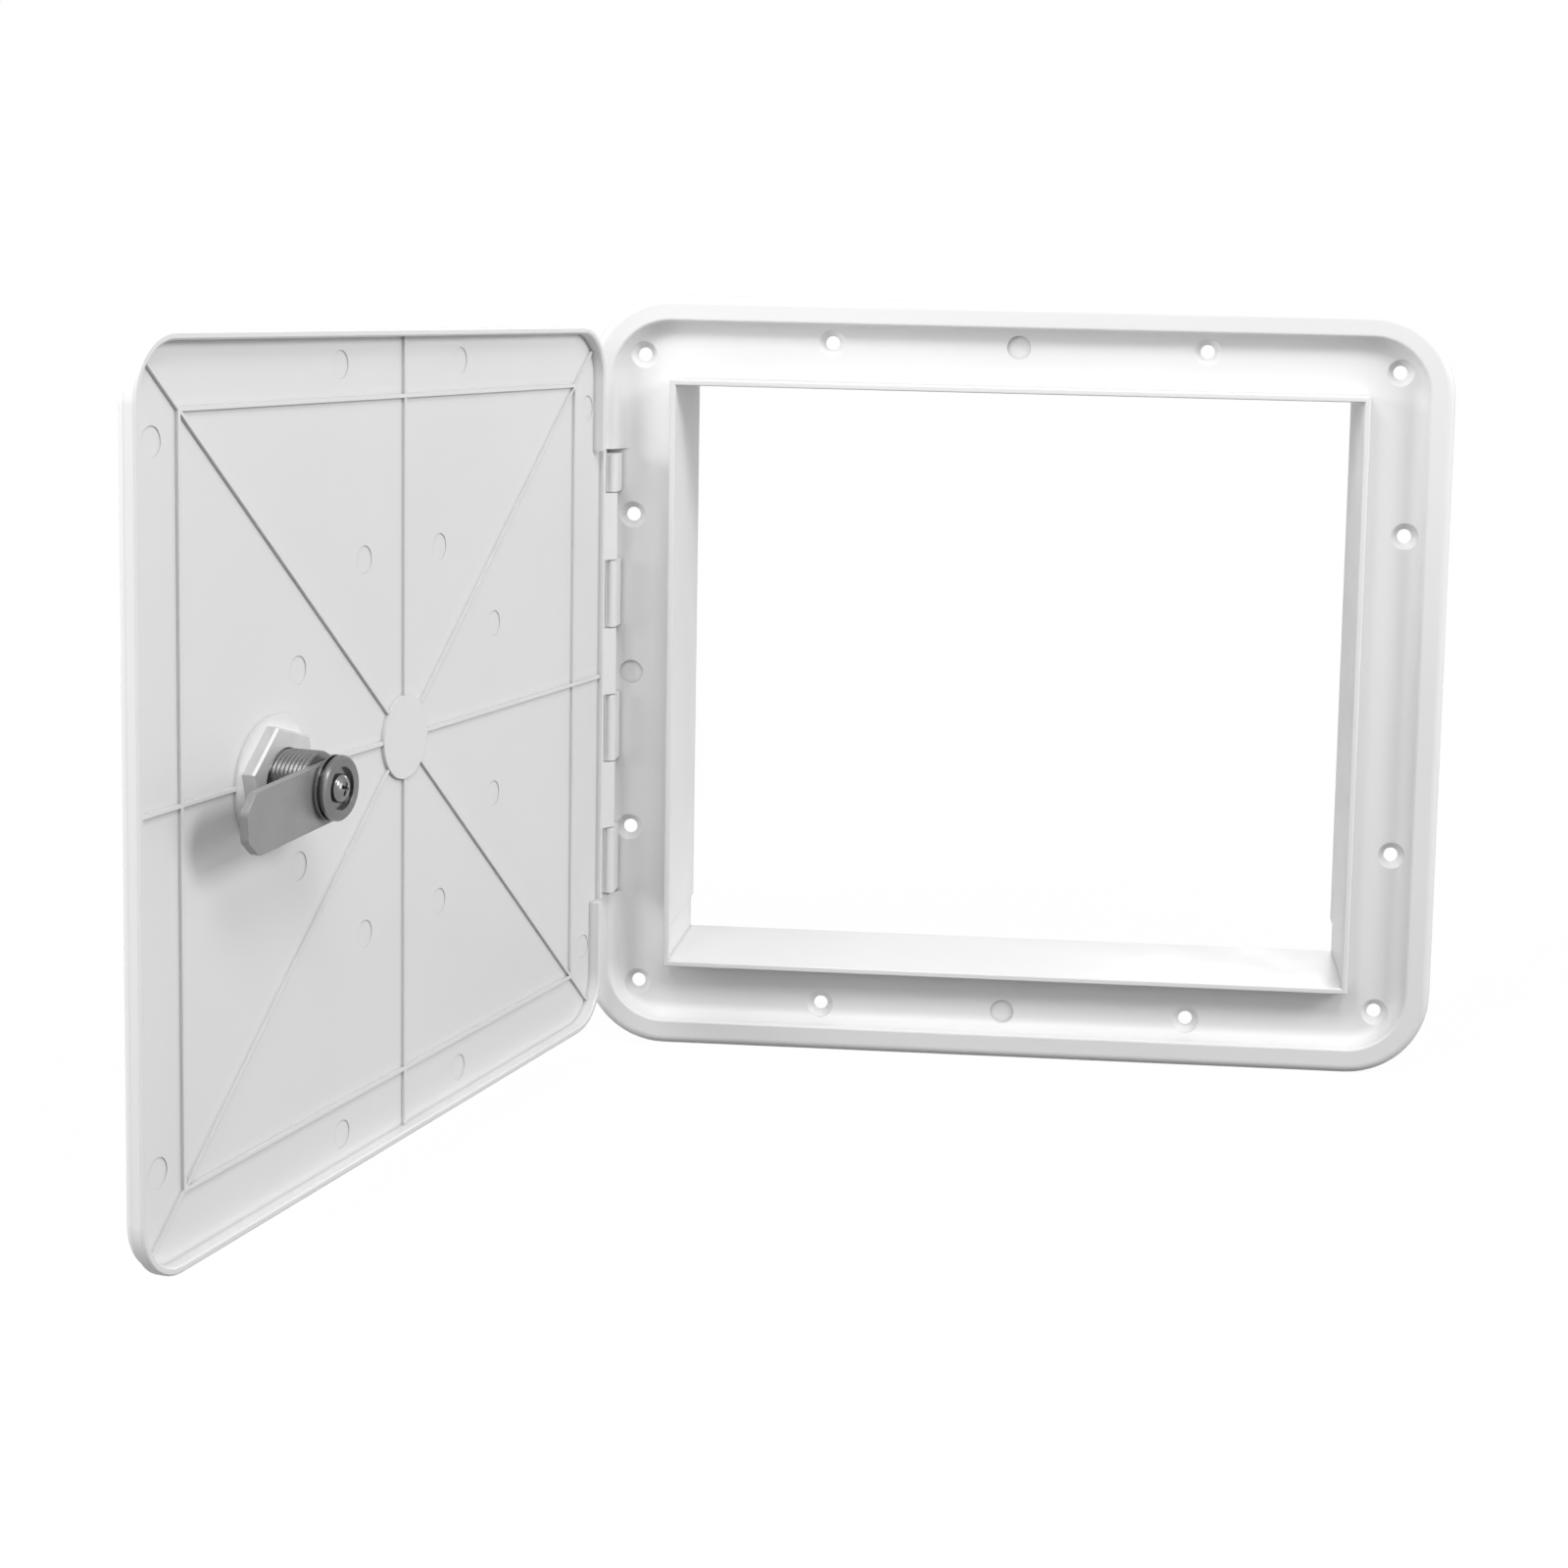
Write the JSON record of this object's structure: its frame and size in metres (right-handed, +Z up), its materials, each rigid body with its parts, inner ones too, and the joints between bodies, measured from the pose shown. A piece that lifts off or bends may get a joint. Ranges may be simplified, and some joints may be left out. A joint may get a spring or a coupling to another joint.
{
  "type": "shore power cord hatch",
  "caption": "White moulded-plastic lockable access hatch for a camper wall, with a flanged frame, a hinged door shown open and a cam lock.",
  "frame": {"origin": "centre of the opening, on the back face of the flange, which lies on the wall", "axes": "+X to the latch side of the frame, +Y into the wall, +Z up; the front faces -Y"},
  "size_m": [0.3522, 0.3134, 0.26],
  "materials": {
    "white_plastic": "satin white moulding",
    "lock_metal": "nickel-plated die casting",
    "cam_metal": "zinc-plated pressing",
    "pin_steel": "drawn wire"
  },
  "bodies": {
    "frame": {"hatch_frame": "white_plastic", "hinge_pin": "pin_steel"},
    "door": {"hatch_door": "white_plastic", "lock_housing": "lock_metal", "lock_nut": "lock_metal"},
    "cam": {"lock_plug": "lock_metal", "lock_cam": "cam_metal", "cam_washer": "lock_metal", "cam_screw": "cam_metal"}
  },
  "joints": [
    {"name": "door_hinge", "type": "hinge", "parent": "frame", "child": "door", "pos_m": [-0.1372, -0.0105, 0], "axis": [0, 0, -1], "range_deg": [-104, 16]},
    {"name": "cam_turn", "type": "hinge", "parent": "door", "child": "cam", "pos_m": [-0.18708, -0.21058, -0.0013], "axis": [0.9703, -0.2419, 0], "range_deg": [0, 90]}
  ]
}
